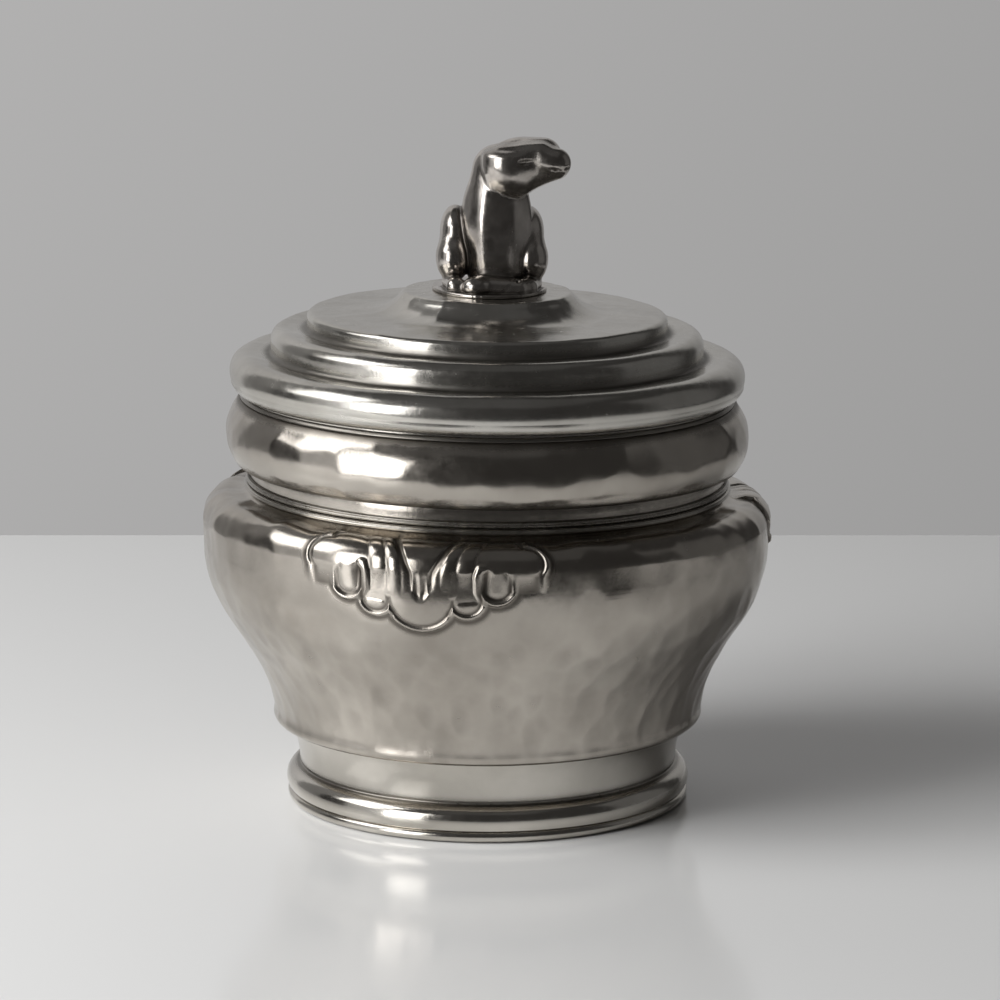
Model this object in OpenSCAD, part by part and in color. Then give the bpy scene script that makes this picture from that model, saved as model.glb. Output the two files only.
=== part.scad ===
// Lidded sugar bowl of raised sheet silver on a moulded foot, with a stepped lid and a cast animal finial.
// Frame: +Z up, origin at the centre of the plane that the foot rests on, the animal's chest towards -Y.

/* [Bowl] */
// Largest radius of the bowl, at the belly
belly_r = 52.4; // [46:0.1:63]
// Radius where the flank meets the bottom corner
waist_r = 39.7; // [36:0.1:44]
// Height of the flank, from the bottom corner up to the belly
flank_h = 32.5; // [24:0.1:42]
// Height from the belly up to the top of the shoulder
shoulder_h = 8.9; // [7:0.1:12]
// Rounding of the shoulder
shoulder_round = 5.4; // [3:0.1:6.5]
// Rounding of the bottom corner
base_round = 2.1; // [1.6:0.1:4]
// Thickness of the raised sheet silver
sheet = 1.0; // [0.8:0.1:1.5]

/* [Neck and rim] */
// Outside radius of the neck
neck_r = 43.4; // [40:0.1:46]
// Height of the neck between shoulder and rim band
neck_h = 4.8; // [4:0.1:7]
// How far the rim band bulges beyond the neck
band_bulge = 4.5; // [3.5:0.1:6]
// Height of the rim band
band_h = 11.8; // [10:0.1:14]
// Radius of the mouth, inside its wire
mouth_r = 41.8; // [38:0.1:42]
// Height of the wire round the mouth
mouth_wire_h = 1.2; // [0.8:0.1:2]
// Height of each of the two wires round the neck
neck_wire_h = 1.15; // [0.8:0.05:1.6]
// How far the lower neck wire stands out
neck_wire_out = 1.1; // [0.6:0.1:1.6]

/* [Foot] */
// Height from the table to the underside of the bowl
foot_h = 14.2; // [12:0.1:17.5]
// Largest radius of the foot moulding
foot_r = 37.1; // [34:0.1:42]
// Height of the rounded foot moulding above the base wire
roll_h = 4.7; // [4.2:0.1:5.4]
// How far the waist of the foot is drawn in
foot_draw = 2.4; // [1.8:0.1:3.5]
// Height of the base wire that the foot rests on
base_wire_h = 1.8; // [1.2:0.1:2.4]
// Thickness of the foot's sheet
foot_sheet = 0.9; // [0.7:0.1:1.1]

/* [Lid] */
// Largest radius of the lid, at its rolled edge
lid_r = 47.05; // [46.4:0.05:56.5]
// Thickness of the lid's sheet
lid_sheet = 0.9; // [0.7:0.05:1.1]
// Outside radius of the lower step
step_r = 39.5; // [37:0.1:41]
// Height of the lower step above its gutter
step_h = 4.8; // [4:0.1:7]
// Outside radius of the platform
platform_r = 32.95; // [29:0.05:35]
// Height of the platform above the lower step
platform_h = 2.9; // [2.4:0.1:5]
// Radius of the boss that carries the finial
boss_r = 15.9; // [13.5:0.1:18]
// Height of the boss above the platform
boss_h = 4.05; // [3.4:0.05:5.5]
// How far the flare of the boss reaches over the platform
flare_w = 6.1; // [5:0.1:8]
// Depth of the locating flange below the seat
flange_drop = 4.5; // [3:0.1:7]
// Radial clearance between the flange and the mouth
lid_gap = 0.35; // [0.2:0.05:0.6]

/* [Finial] */
// Height of the cast animal
finial_h = 28.2; // [23:0.1:34]
// Turn of the animal's chest to its left, in degrees
finial_turn = 18; // [0:1:40]
// Radius of the stud that holds the finial
stud_r = 1.5; // [1.2:0.1:2]
// Radius of the washer under the boss
washer_r = 4.5; // [3.5:0.1:6]
// Size of the nut across its flats
nut_flats = 5.5; // [5.2:0.1:7]

/* [Hidden] */
$fn = 96;
silver = [0.62, 0.60, 0.57];
dark_silver = [0.42, 0.41, 0.39];

// Lean of the flank where it leaves the bottom corner, in degrees
flank_lean = 8.5;

// Heights, stacked from the table up
waist_z = foot_h + base_round * (1 - sin(flank_lean));
belly_z = waist_z + flank_h;
shoulder_z = belly_z + shoulder_h;
band_low_z = shoulder_z + neck_h;
band_top_z = band_low_z + band_h;
seat_z = band_top_z + mouth_wire_h;

// Flank: a cubic curve that leaves the waist at a slight lean and arrives upright at the belly
flank_pull_low = 0.49 * flank_h;
flank_pull_high = 0.45 * flank_h;

// Neck wires: the upper one stands out less, and each has a short straight root against the neck
upper_wire_out = neck_wire_out - 0.4;
neck_wire_root = 0.3;

// Rim band: two arcs that share the band's widest level
band_r = neck_r + band_bulge;
band_low_round = 7.7;
band_high_round = 9.0;
band_z = band_low_z + 0.45 * band_h;

// Mouth wire: worn bevel outside, small broken edge inside
mouth_bevel_w = 0.65;
mouth_bevel_h = 0.5;
mouth_taper = 0.35;
mouth_edge = 0.2;

// Foot: the moulding's round, and the flare that carries the waist up to the bowl
roll_round = 2.9;
roll_top_z = base_wire_h + roll_h;
foot_waist_r = foot_r - foot_draw;
foot_waist_z = roll_top_z + 0.4;
foot_flare_w = 1.9;
foot_pull_low = 2.8;
foot_pull_high = 2.4;
base_wire_inset = 1.2;
base_wire_r = foot_r - base_wire_inset;
base_wire_round = 1.0;

// Lid
lid_low_round = 4.55;
lid_high_round = 3.65;
lid_widest_z = seat_z + 3.45;
lid_lip_r = lid_r - 2.45;
gutter_sink = 0.25;
gutter_z = lid_widest_z + lid_high_round - gutter_sink;
gutter_round = 0.6;
step_z = gutter_z + step_h;
step_sink = 0.3;
step_round = 2.4;
platform_z = step_z + platform_h;
platform_round = 1.2;
boss_z = platform_z + boss_h;
boss_round = 1.1;
flare_low_z = platform_z + 0.25;
flare_high_z = boss_z - 0.6;
flange_r = mouth_r - lid_gap;
flange_t = 1.0;
ledge_h = 0.5;

// Height at which the animal is modelled, and the turn of its head from its own left
animal_h = 28.2;
head_turn = 43;

// Finial fastening
socket_gap = 0.12;
socket_h = 6;
washer_h = 0.8;
nut_h = 2.4;
stud_tail = 1.2;

// Points along an arc, its angles measured from +X towards +Y
function arc(centre, radius, from, to, steps = 10) =
    [for (i = [0:steps]) let (a = from + (to - from) * i / steps)
        centre + radius * [cos(a), sin(a)]];

// A point on a cubic curve, and the curve's direction there
function curve_point(p, u) =
    pow(1 - u, 3) * p[0] + 3 * u * pow(1 - u, 2) * p[1] + 3 * u * u * (1 - u) * p[2] + pow(u, 3) * p[3];
function curve_slope(p, u) =
    pow(1 - u, 2) * (p[1] - p[0]) + 2 * u * (1 - u) * (p[2] - p[1]) + u * u * (p[3] - p[2]);

// Points along a cubic curve, moved to its left by inset
function curve(p, inset, steps = 16) =
    [for (i = [0:steps]) let (u = i / steps, d = curve_slope(p, u))
        curve_point(p, u) + inset * [-d[1], d[0]] / norm(d)];

function backwards(points) = [for (i = [len(points) - 1:-1:0]) points[i]];

// A sheet between the outline at depth 0 and the same outline at its own thickness
module spun(outer, inner) {
    rotate_extrude() polygon(concat(outer, backwards(inner)));
}

// Bowl outline at depth t under its outside skin, from the axis up to the top of the neck
function bowl_outline(t) =
    let (start = [waist_r, waist_z],
         lean = [sin(flank_lean), cos(flank_lean)],
         flank = [start, start + flank_pull_low * lean,
                  [belly_r, belly_z - flank_pull_high], [belly_r, belly_z]],
         corner = start - base_round * [cos(flank_lean), -sin(flank_lean)])
    concat(
        [[0, corner[1] - base_round + t]],
        arc(corner, base_round - t, -90, -flank_lean, 6),
        curve(flank, t),
        arc([belly_r - shoulder_round, shoulder_z - shoulder_round], shoulder_round - t, 0, 90),
        [[neck_r - t, shoulder_z - t], [neck_r - t, band_low_z + sheet]]);

module bowl_body() {
    color(silver) spun(bowl_outline(0), bowl_outline(sheet));
}

// Rim band outline at depth t, with its lower end at height low and its upper end at the band's top
function band_outline(t, low) =
    let (low_r = band_low_round - t,
         high_r = band_high_round - t)
    concat(
        [[neck_r, low]],
        arc([band_r - band_low_round, band_z], low_r, asin((low - band_z) / low_r), 0, 8),
        arc([band_r - band_high_round, band_z], high_r, 0, asin((band_top_z - band_z) / high_r), 8));

module rim_band() {
    color(silver) spun(band_outline(0, band_low_z), band_outline(sheet, band_low_z + sheet));
}

// Wire of half-round section laid against the neck, from height low
module neck_wire(low, out) {
    half = neck_wire_h / 2;
    rotate_extrude()
        polygon(concat(
            [[neck_r, low]],
            [for (a = [-90:15:90])
                [neck_r + neck_wire_root + (out - neck_wire_root) * cos(a), low + half + half * sin(a)]],
            [[neck_r, low + neck_wire_h]]));
}

module lower_neck_wire() {
    color(silver) neck_wire(shoulder_z, neck_wire_out);
}

module upper_neck_wire() {
    color(silver) neck_wire(shoulder_z + neck_wire_h, upper_wire_out);
}

// Wire that closes the mouth; its outside carries on the curve of the rim band
module mouth_wire() {
    top_angle = asin((band_top_z - band_z) / band_high_round);
    shoulder = band_r - band_high_round + band_high_round * cos(top_angle);
    color(silver)
        rotate_extrude()
            polygon([
                [mouth_r, band_top_z], [shoulder, band_top_z],
                [shoulder - mouth_taper, seat_z - mouth_bevel_h],
                [shoulder - mouth_taper - mouth_bevel_w, seat_z],
                [mouth_r + mouth_edge, seat_z], [mouth_r, seat_z - mouth_edge]]);
}

// Foot outline at depth t: base roll, drawn-in waist, and flare up to the bowl
function foot_outline(t) =
    let (roll_mid = roll_top_z - roll_round,
         round = roll_round - t,
         waist_r = foot_waist_r - t)
    concat(
        arc([foot_r - roll_round, roll_mid], round, asin((base_wire_h - roll_mid) / round), 85),
        curve([[waist_r, foot_waist_z], [waist_r + 0.1, foot_waist_z + foot_pull_low],
               [waist_r + 0.5, foot_h - foot_pull_high], [waist_r + foot_flare_w, foot_h]], 0, 8));

module foot_ring() {
    color(silver) spun(foot_outline(0), foot_outline(foot_sheet));
}

// Round wire under the foot, flattened where it is soldered and where it rests
module foot_wire() {
    flat = asin(base_wire_h / 2 / base_wire_round);
    color(silver)
        rotate_extrude()
            polygon(concat(
                arc([base_wire_r, base_wire_h / 2], base_wire_round, -flat, flat, 8),
                arc([base_wire_r, base_wire_h / 2], base_wire_round, 180 - flat, 180 + flat, 8)));
}

// Lid outline at depth t, from the rolled edge over both steps to the boss
function lid_outline(t) =
    concat(
        arc([lid_r - lid_high_round, lid_widest_z], lid_high_round - t, 0, 95),
        arc([step_r + gutter_round, gutter_z + gutter_round], gutter_round + t, 270, 180, 5),
        arc([step_r - step_round, step_z - step_round], step_round - t, 0, 90, 8),
        arc([platform_r + gutter_round, step_z - step_sink + gutter_round], gutter_round + t, 270, 180, 5),
        arc([platform_r - platform_round, platform_z - platform_round], platform_round - t, 0, 90, 6),
        arc([boss_r + flare_w, flare_low_z + flare_round()], flare_round() + t, 270, 270 - flare_angle()),
        arc([boss_r - boss_round, boss_z - boss_round], boss_round - t, flare_angle() / 2, 90, 5),
        [[0, boss_z - t]]);

// The flare is an arc that starts level on the platform and ends at the boss's rounded edge
function flare_rise() = flare_high_z - flare_low_z;
function flare_round() = (pow(flare_w, 2) + pow(flare_rise(), 2)) / (2 * flare_rise());
function flare_angle() = asin(flare_w / flare_round());

// Rolled edge at depth t below its widest level, cut off at the seat
function lid_roll(t, from) = arc([lid_r - lid_low_round, lid_widest_z], lid_low_round - t, from, -1, 8);

module lid_shell() {
    outer_angle = asin((seat_z - lid_widest_z) / lid_low_round);
    inner_round = lid_low_round - lid_sheet;
    inner_angle = -acos((lid_lip_r - lid_r + lid_low_round) / inner_round);
    color(silver)
        difference() {
            spun(
                concat(lid_roll(0, outer_angle), lid_outline(0)),
                concat([[lid_lip_r, seat_z]], lid_roll(lid_sheet, inner_angle), lid_outline(lid_sheet)));
            translate([0, 0, boss_z - lid_sheet - 1])
                cylinder(r = stud_r + socket_gap, h = lid_sheet + 2);
        }
}

// Ring of L section: its ledge rests on the mouth wire, its wall drops into the mouth
module lid_flange() {
    color(silver)
        rotate_extrude()
            polygon([
                [flange_r - flange_t, seat_z - flange_drop], [flange_r, seat_z - flange_drop],
                [flange_r, seat_z], [lid_lip_r, seat_z],
                [lid_lip_r, seat_z + ledge_h], [flange_r - flange_t, seat_z + flange_t]]);
}

// A rounded limb between two balls, each given as [centre, radius]
module limb(a, b) {
    hull() {
        translate(a[0]) sphere(r = a[1], $fn = 16);
        translate(b[0]) sphere(r = b[1], $fn = 16);
    }
}

// Seated animal at its own modelled height, chest towards -Y, base plate on the XY plane
module animal() {
    scale([10.4, 11.6, 1]) cylinder(r = 1, h = 0.7, $fn = 64);
    // Trunk from the rump up to the shoulders, then the neck
    limb([[0, 4.2, 6.2], 6.1], [[0, -1.5, 17.6], 4.9]);
    limb([[0, -5.6, 13.6], 4.9], [[-0.4, -2.4, 22.6], 3.7]);
    for (side = [-1, 1]) {
        // Foreleg and paw
        limb([[side * 2.9, -7.2, 13.5], 2.9], [[side * 3.1, -8.4, 2.6], 2.3]);
        limb([[side * 3.2, -8.6, 1.9], 1.9], [[side * 3.3, -9.9, 1.9], 1.8]);
        // Haunch, thigh and hind paw
        limb([[side * 7.3, -1.4, 10.9], 3.5], [[side * 7.4, -3.2, 5.6], 3.6]);
        limb([[side * 7.2, -2.6, 5.2], 3.4], [[side * 5.8, 3.4, 4.6], 4.2]);
        limb([[side * 8.2, -3.6, 1.9], 1.9], [[side * 8.3, -7.4, 1.7], 1.7]);
    }
    translate([1.5, -5.2, animal_h]) rotate([0, 0, -head_turn]) animal_head();
}

// Head along +X, its crown at height 0
module animal_head() {
    limb([[0.2, 0, -6.4], 4.7], [[5.6, 0, -4.2], 4.2]);
    limb([[5.6, 0, -4.6], 4.0], [[10.4, 0, -5.2], 2.7]);
    for (side = [-1, 1])
        limb([[0.8, side * 3.1, -3.1], 1.3], [[1.6, side * 3.2, -2.2], 0.9]);
}

module finial() {
    color(dark_silver)
        difference() {
            translate([0, 0, boss_z])
                rotate([0, 0, finial_turn])
                    scale(finial_h / animal_h) animal();
            translate([0, 0, boss_z - 1])
                cylinder(r = stud_r + socket_gap, h = socket_h + 1, $fn = 48);
        }
}

// Stud from the socket in the finial down through the boss, washer and nut
module finial_stud() {
    bottom = boss_z - lid_sheet - washer_h - nut_h - stud_tail;
    color(silver)
        translate([0, 0, bottom])
            cylinder(r = stud_r, h = boss_z + socket_h - bottom);
}

module finial_washer() {
    color(silver)
        translate([0, 0, boss_z - lid_sheet - washer_h])
            difference() {
                cylinder(r = washer_r, h = washer_h);
                translate([0, 0, -1]) cylinder(r = stud_r + socket_gap, h = washer_h + 2);
            }
}

module finial_nut() {
    color(silver)
        translate([0, 0, boss_z - lid_sheet - washer_h - nut_h])
            difference() {
                cylinder(r = nut_flats / 2 / cos(30), h = nut_h, $fn = 6);
                translate([0, 0, -1]) cylinder(r = stud_r, h = nut_h + 2);
            }
}

foot_wire();
foot_ring();
bowl_body();
lower_neck_wire();
upper_neck_wire();
rim_band();
mouth_wire();
lid_shell();
lid_flange();
finial();
finial_stud();
finial_washer();
finial_nut();
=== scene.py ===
"""Looks of the lidded silver sugar bowl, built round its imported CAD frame.

Lengths are millimetres until a mesh is made, in the frame's own axes: +Z up, the front towards -Y.
Azimuth is counted from the front towards -X, the viewer's left, in radians.
"""

import math

import bpy
import numpy as np
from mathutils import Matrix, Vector


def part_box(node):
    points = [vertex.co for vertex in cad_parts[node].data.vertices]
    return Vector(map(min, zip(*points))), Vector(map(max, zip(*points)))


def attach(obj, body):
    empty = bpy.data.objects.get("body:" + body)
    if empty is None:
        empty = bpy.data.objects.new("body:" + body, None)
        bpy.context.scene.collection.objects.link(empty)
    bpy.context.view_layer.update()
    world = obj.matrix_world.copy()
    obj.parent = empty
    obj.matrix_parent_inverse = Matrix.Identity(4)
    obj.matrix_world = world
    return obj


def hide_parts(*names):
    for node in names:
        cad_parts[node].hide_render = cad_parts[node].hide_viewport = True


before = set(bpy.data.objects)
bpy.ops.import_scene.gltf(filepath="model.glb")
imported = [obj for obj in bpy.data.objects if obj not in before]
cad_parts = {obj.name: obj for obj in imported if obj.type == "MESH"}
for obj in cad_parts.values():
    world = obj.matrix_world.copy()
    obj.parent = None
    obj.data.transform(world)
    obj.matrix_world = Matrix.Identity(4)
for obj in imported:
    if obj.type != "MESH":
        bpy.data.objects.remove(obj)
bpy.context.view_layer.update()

MM = 0.001  # metres
TURN = 2 * math.pi
SKIN = 0.02  # how far every replaced surface keeps inside the CAD surface
LEAN = 0.015  # fall of the rim and lid towards the viewer's right


# ---- sizes read from the frame


def reach(node):
    """Largest radius, lowest and highest level of a CAD node."""
    low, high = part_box(node)
    return max(high.x, high.y) / MM, low.z / MM, high.z / MM


belly_r, bowl_low_z, bowl_top_z = reach("bowl_body")
lower_wire_r, shoulder_z, lower_wire_top_z = reach("lower_neck_wire")
upper_wire_r, _, upper_wire_top_z = reach("upper_neck_wire")
band_r, band_low_z, band_top_z = reach("rim_band")
_, _, seat_z = reach("mouth_wire")
foot_r, foot_low_z, foot_top_z = reach("foot_ring")
base_wire_outer_r, _, _ = reach("foot_wire")
lid_r, _, boss_z = reach("lid_shell")
lid_lip_r, _, _ = reach("lid_flange")
_, _, finial_top_z = reach("finial")

# Gauges of the sheets, and the straight root of the half-round neck wires
SHEET = 1.0
LID_SHEET = 0.9
FLANGE_SHEET = 0.9
FOOT_SHEET = 0.9
NECK_WIRE_ROOT = 0.3
BASE_WIRE_ROUND = 1.0

# The bowl: neck, shoulder, flank, and the turn into its flat bottom
neck_r = lower_wire_r - 1.1
shoulder_h = 8.9
shoulder_round = 5.4
belly_z = shoulder_z - shoulder_h
waist_r = 39.7
base_round = 2.1
flank_lean = math.radians(8.5)
waist_z = bowl_low_z + base_round * (1 - math.sin(flank_lean))
flank_h = belly_z - waist_z

# The rim band: two arcs that meet where it is widest
band_low_round = 7.7
band_high_round = 9.0
band_z = band_low_z + 0.45 * (band_top_z - band_low_z)
mouth_r = 41.8

# The foot: a roll, a waist and a flare up to the bowl
roll_round = 2.9
roll_top_z = foot_low_z + 4.7
foot_waist_r = foot_r - 2.4

# The lid: a rolled edge, a gutter, a step, a second gutter, a platform, a flare and a boss
lid_low_round = 4.55
lid_high_round = 3.65
lid_widest_z = seat_z + 3.45
gutter_z = lid_widest_z + lid_high_round - 0.25
gutter_round = 0.6
gutter_drop = 0.3
step_r = 39.5
step_z = gutter_z + 4.8
step_round = 2.4
platform_r = 32.95
platform_z = step_z + 2.9
platform_round = 1.2
boss_r = 15.9
boss_round = 1.1
flare_w = 6.1
flare_low_z = platform_z + 0.25
flare_high_z = boss_z - 0.6
stud_hole_r = 1.62


# ---- outlines, as rows of (radius, level)


def arc(centre, radius, start, end, steps=24):
    """Points on an arc, its angles in degrees from the outward radius towards up."""
    angle = np.radians(np.linspace(start, end, steps + 1))
    return np.column_stack([centre[0] + radius * np.cos(angle), centre[1] + radius * np.sin(angle)])


def curve(corners, inset=0.0, steps=48):
    """Points on a cubic curve with four corners, moved to its left by inset."""
    p = np.array(corners, float)
    t = np.linspace(0, 1, steps + 1)[:, None]
    s = 1 - t
    point = s**3 * p[0] + 3 * t * s**2 * p[1] + 3 * t**2 * s * p[2] + t**3 * p[3]
    slope = s**2 * (p[1] - p[0]) + 2 * t * s * (p[2] - p[1]) + t**2 * (p[3] - p[2])
    left = np.column_stack([-slope[:, 1], slope[:, 0]])
    return point + inset * left / np.linalg.norm(left, axis=1)[:, None]


def bowl_outline(depth):
    """Bowl from the axis to the top of the neck, at a depth under its outer skin."""
    start = np.array([waist_r, waist_z])
    lean = np.array([math.sin(flank_lean), math.cos(flank_lean)])
    corner = start - base_round * np.array([math.cos(flank_lean), -math.sin(flank_lean)])
    flank = [start, start + 0.49 * flank_h * lean, [belly_r, belly_z - 0.45 * flank_h], [belly_r, belly_z]]
    return np.vstack([
        [[0, corner[1] - base_round + depth]],
        arc(corner, base_round - depth, -90, -math.degrees(flank_lean), 12),
        curve(flank, depth, 80)[1:],
        arc([belly_r - shoulder_round, shoulder_z - shoulder_round], shoulder_round - depth, 0, 90),
        [[neck_r - depth, shoulder_z - depth], [neck_r - depth, bowl_top_z]],
    ])


def band_outline(depth, low):
    """Rim band from its lower edge at level low to its top."""
    low_r = band_low_round - depth
    high_r = band_high_round - depth
    low_angle = math.degrees(math.asin((low - band_z) / low_r))
    high_angle = math.degrees(math.asin((band_top_z - band_z) / high_r))
    return np.vstack([
        [[neck_r, low]],
        arc([band_r - band_low_round, band_z], low_r, low_angle, 0),
        arc([band_r - band_high_round, band_z], high_r, 0, high_angle)[1:],
    ])


def foot_outline(depth):
    """Foot from the base wire over the roll and waist up to the bowl."""
    roll_mid = roll_top_z - roll_round
    radius = roll_round - depth
    start = math.degrees(math.asin((foot_low_z - roll_mid) / radius))
    waist = foot_waist_r - depth
    flare = [[waist, roll_top_z + 0.4], [waist + 0.1, roll_top_z + 3.2],
             [waist + 0.5, foot_top_z - 2.4], [waist + 1.9, foot_top_z]]
    return np.vstack([arc([foot_r - roll_round, roll_mid], radius, start, 85), curve(flare)])


def lid_outline(depth):
    """Lid from its widest level over both steps to the boss."""
    rise = flare_high_z - flare_low_z
    flare_round = (flare_w**2 + rise**2) / (2 * rise)
    flare_angle = math.degrees(math.asin(flare_w / flare_round))
    return np.vstack([
        arc([lid_r - lid_high_round, lid_widest_z], lid_high_round - depth, 0, 95),
        arc([step_r + gutter_round, gutter_z + gutter_round], gutter_round + depth, 270, 180, 8),
        arc([step_r - step_round, step_z - step_round], step_round - depth, 0, 90, 12),
        arc([platform_r + gutter_round, step_z - gutter_drop + gutter_round],
            gutter_round + depth, 270, 180, 8),
        arc([platform_r - platform_round, platform_z - platform_round], platform_round - depth, 0, 90, 10),
        arc([boss_r + flare_w, flare_low_z + flare_round], flare_round + depth, 270, 270 - flare_angle),
        arc([boss_r - boss_round, boss_z - boss_round], boss_round - depth, flare_angle / 2, 90, 8),
        [[stud_hole_r, boss_z - depth]],
    ])


def lid_roll(depth, start):
    """Rolled edge of the lid below its widest level."""
    return arc([lid_r - lid_low_round, lid_widest_z], lid_low_round - depth, start, -1, 16)


# ---- turning an outline into a mesh


def turn_at(points):
    """How sharply a closed outline turns at each point, in radians."""
    before = points - np.roll(points, 1, axis=0)
    after = np.roll(points, -1, axis=0) - points
    cross = before[:, 0] * after[:, 1] - before[:, 1] * after[:, 0]
    return np.arctan2(cross, (before * after).sum(axis=1))


def soften(points, radius, closed=True):
    """The outline with each of its sharp corners rounded."""
    sharp = np.abs(turn_at(points)) > math.radians(25)
    if not closed:
        sharp[0] = sharp[-1] = False
    made = []
    for i, point in enumerate(points):
        if not sharp[i]:
            made.append(point)
            continue
        before, after = points[i - 1], points[(i + 1) % len(points)]
        into, out = before - point, after - point
        back = min(radius, 0.4 * np.linalg.norm(into), 0.4 * np.linalg.norm(out))
        a = point + back * into / np.linalg.norm(into)
        b = point + back * out / np.linalg.norm(out)
        for t in np.linspace(0, 1, 5):
            made.append((1 - t) ** 2 * a + 2 * t * (1 - t) * point + t * t * b)
    return np.array(made)


def respace(points, spacing):
    """The same line with points about as far apart as spacing(point along the line) says."""
    step = np.linalg.norm(np.diff(points, axis=0), axis=1)
    along = np.concatenate([[0], np.cumsum(step)])
    middle = (points[1:] + points[:-1]) / 2
    wanted = np.array([spacing(r, z) for r, z in middle])
    count = np.concatenate([[0], np.cumsum(step / wanted)])
    total = max(3, int(round(count[-1])))
    even = np.interp(np.linspace(0, count[-1], total + 1), count, along)
    return np.column_stack([np.interp(even, along, points[:, k]) for k in (0, 1)])


def mesh_from_grid(name, points, wrap_rows, poles, hollow=None):
    """A mesh from an array of points [row, column, xyz] in mm that closes round its columns. Where it
    doesn't close round its rows, poles are the two points in which its first and last row end."""
    rows, columns = points.shape[:2]
    index = np.arange(rows * columns).reshape(rows, columns)
    low = index if wrap_rows else index[:-1]
    high = np.roll(index, -1, axis=0) if wrap_rows else index[1:]
    quads = np.stack([low, np.roll(low, -1, axis=1), np.roll(high, -1, axis=1), high], axis=-1).reshape(-1, 4)
    faces = [quads]
    points = points.reshape(-1, 3)
    hollow = hollow.ravel()
    if not wrap_rows:
        start, end = np.full(columns, len(points)), np.full(columns, len(points) + 1)
        faces.append(np.stack([start, np.roll(index[0], -1), index[0]], axis=-1))
        faces.append(np.stack([end, index[-1], np.roll(index[-1], -1)], axis=-1))
        points = np.vstack([points, poles])
        hollow = np.concatenate([hollow, [0, 0]])
    return mesh_from_arrays(name, points, faces, hollow)


def leaning(points):
    """The points with all above the shoulder let down a little towards the viewer's right."""
    above = smooth_step(belly_z, shoulder_z, points[:, 2])
    level = points[:, 2] - LEAN * points[:, 0] * above
    return np.column_stack([points[:, 0], points[:, 1], level])


def mesh_from_arrays(name, points, faces, hollow):
    """A smooth-shaded mesh object from points in mm and a list of face arrays, one for each number of
    sides. hollow goes with it as a point attribute, for the tarnish and the painted shade."""
    mesh = bpy.data.meshes.new(name)
    loops = np.concatenate([f.ravel() for f in faces])
    sides = np.concatenate([np.full(len(f), f.shape[1]) for f in faces])
    mesh.vertices.add(len(points))
    mesh.vertices.foreach_set("co", (leaning(points) * MM).astype(np.float32).ravel())
    mesh.loops.add(len(loops))
    mesh.loops.foreach_set("vertex_index", loops.astype(np.int32))
    mesh.polygons.add(len(sides))
    mesh.polygons.foreach_set("loop_start", (np.cumsum(sides) - sides).astype(np.int32))
    mesh.update(calc_edges=True)
    mesh.validate()
    mesh.shade_smooth()
    layer = mesh.attributes.new("hollow", "FLOAT", "POINT")
    layer.data.foreach_set("value", hollow.astype(np.float32))
    made = bpy.data.objects.new(name, mesh)
    bpy.context.scene.collection.objects.link(made)
    return made


def around(radius, level, azimuth):
    """Points in the frame's axes from radii, levels and azimuths counted from the front to the left."""
    return np.stack([-radius * np.sin(azimuth), -radius * np.cos(azimuth), level + 0 * azimuth], axis=-1)


def even_turn(columns):
    return np.linspace(0, TURN, columns, endpoint=False)


def spin(name, outline, azimuth, relief=None, edge=0.12, spacing=lambda r, z: 0.5):
    """An outline turned about the axis: a closed one, or one that starts and ends on the axis.
    relief(azimuth, radius, level, out_r, out_z) gives how far each point of the skin moves out along
    its normal and how dark it is: tarnish in hollows, and on some pieces painted shade."""
    touches_axis = outline[0, 0] < 1e-6
    rounded = soften(outline, edge, closed=not touches_axis)
    line = respace(rounded if touches_axis else np.vstack([rounded, rounded[:1]]), spacing)
    slope = np.roll(line, -1, axis=0) - np.roll(line, 1, axis=0)
    ends = line[[0, -1]]
    line, slope = (line[1:-1], slope[1:-1]) if touches_axis else (line[:-1], slope[:-1])
    if not touches_axis:
        slope[0] = line[1] - line[-1]
    slope /= np.linalg.norm(slope, axis=1)[:, None]
    azimuth = azimuth[None, :]
    radius, level = line[:, :1], line[:, 1:]
    out_r, out_z = slope[:, 1:], -slope[:, :1]
    moved = hollow = np.zeros((len(line), azimuth.size))
    if relief is not None:
        moved, hollow = relief(azimuth, radius, level, out_r, out_z)
    moved = moved - SKIN
    points = around(radius + moved * out_r, level + moved * out_z, azimuth)
    poles = np.array([[0, 0, ends[0, 1] + SKIN], [0, 0, ends[1, 1] - SKIN]])
    return mesh_from_grid(name, points, not touches_axis, poles, hollow + 0 * moved)


def smooth_step(low, high, x):
    t = np.clip((x - low) / (high - low), 0, 1)
    return t * t * (3 - 2 * t)


# ---- relief


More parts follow.
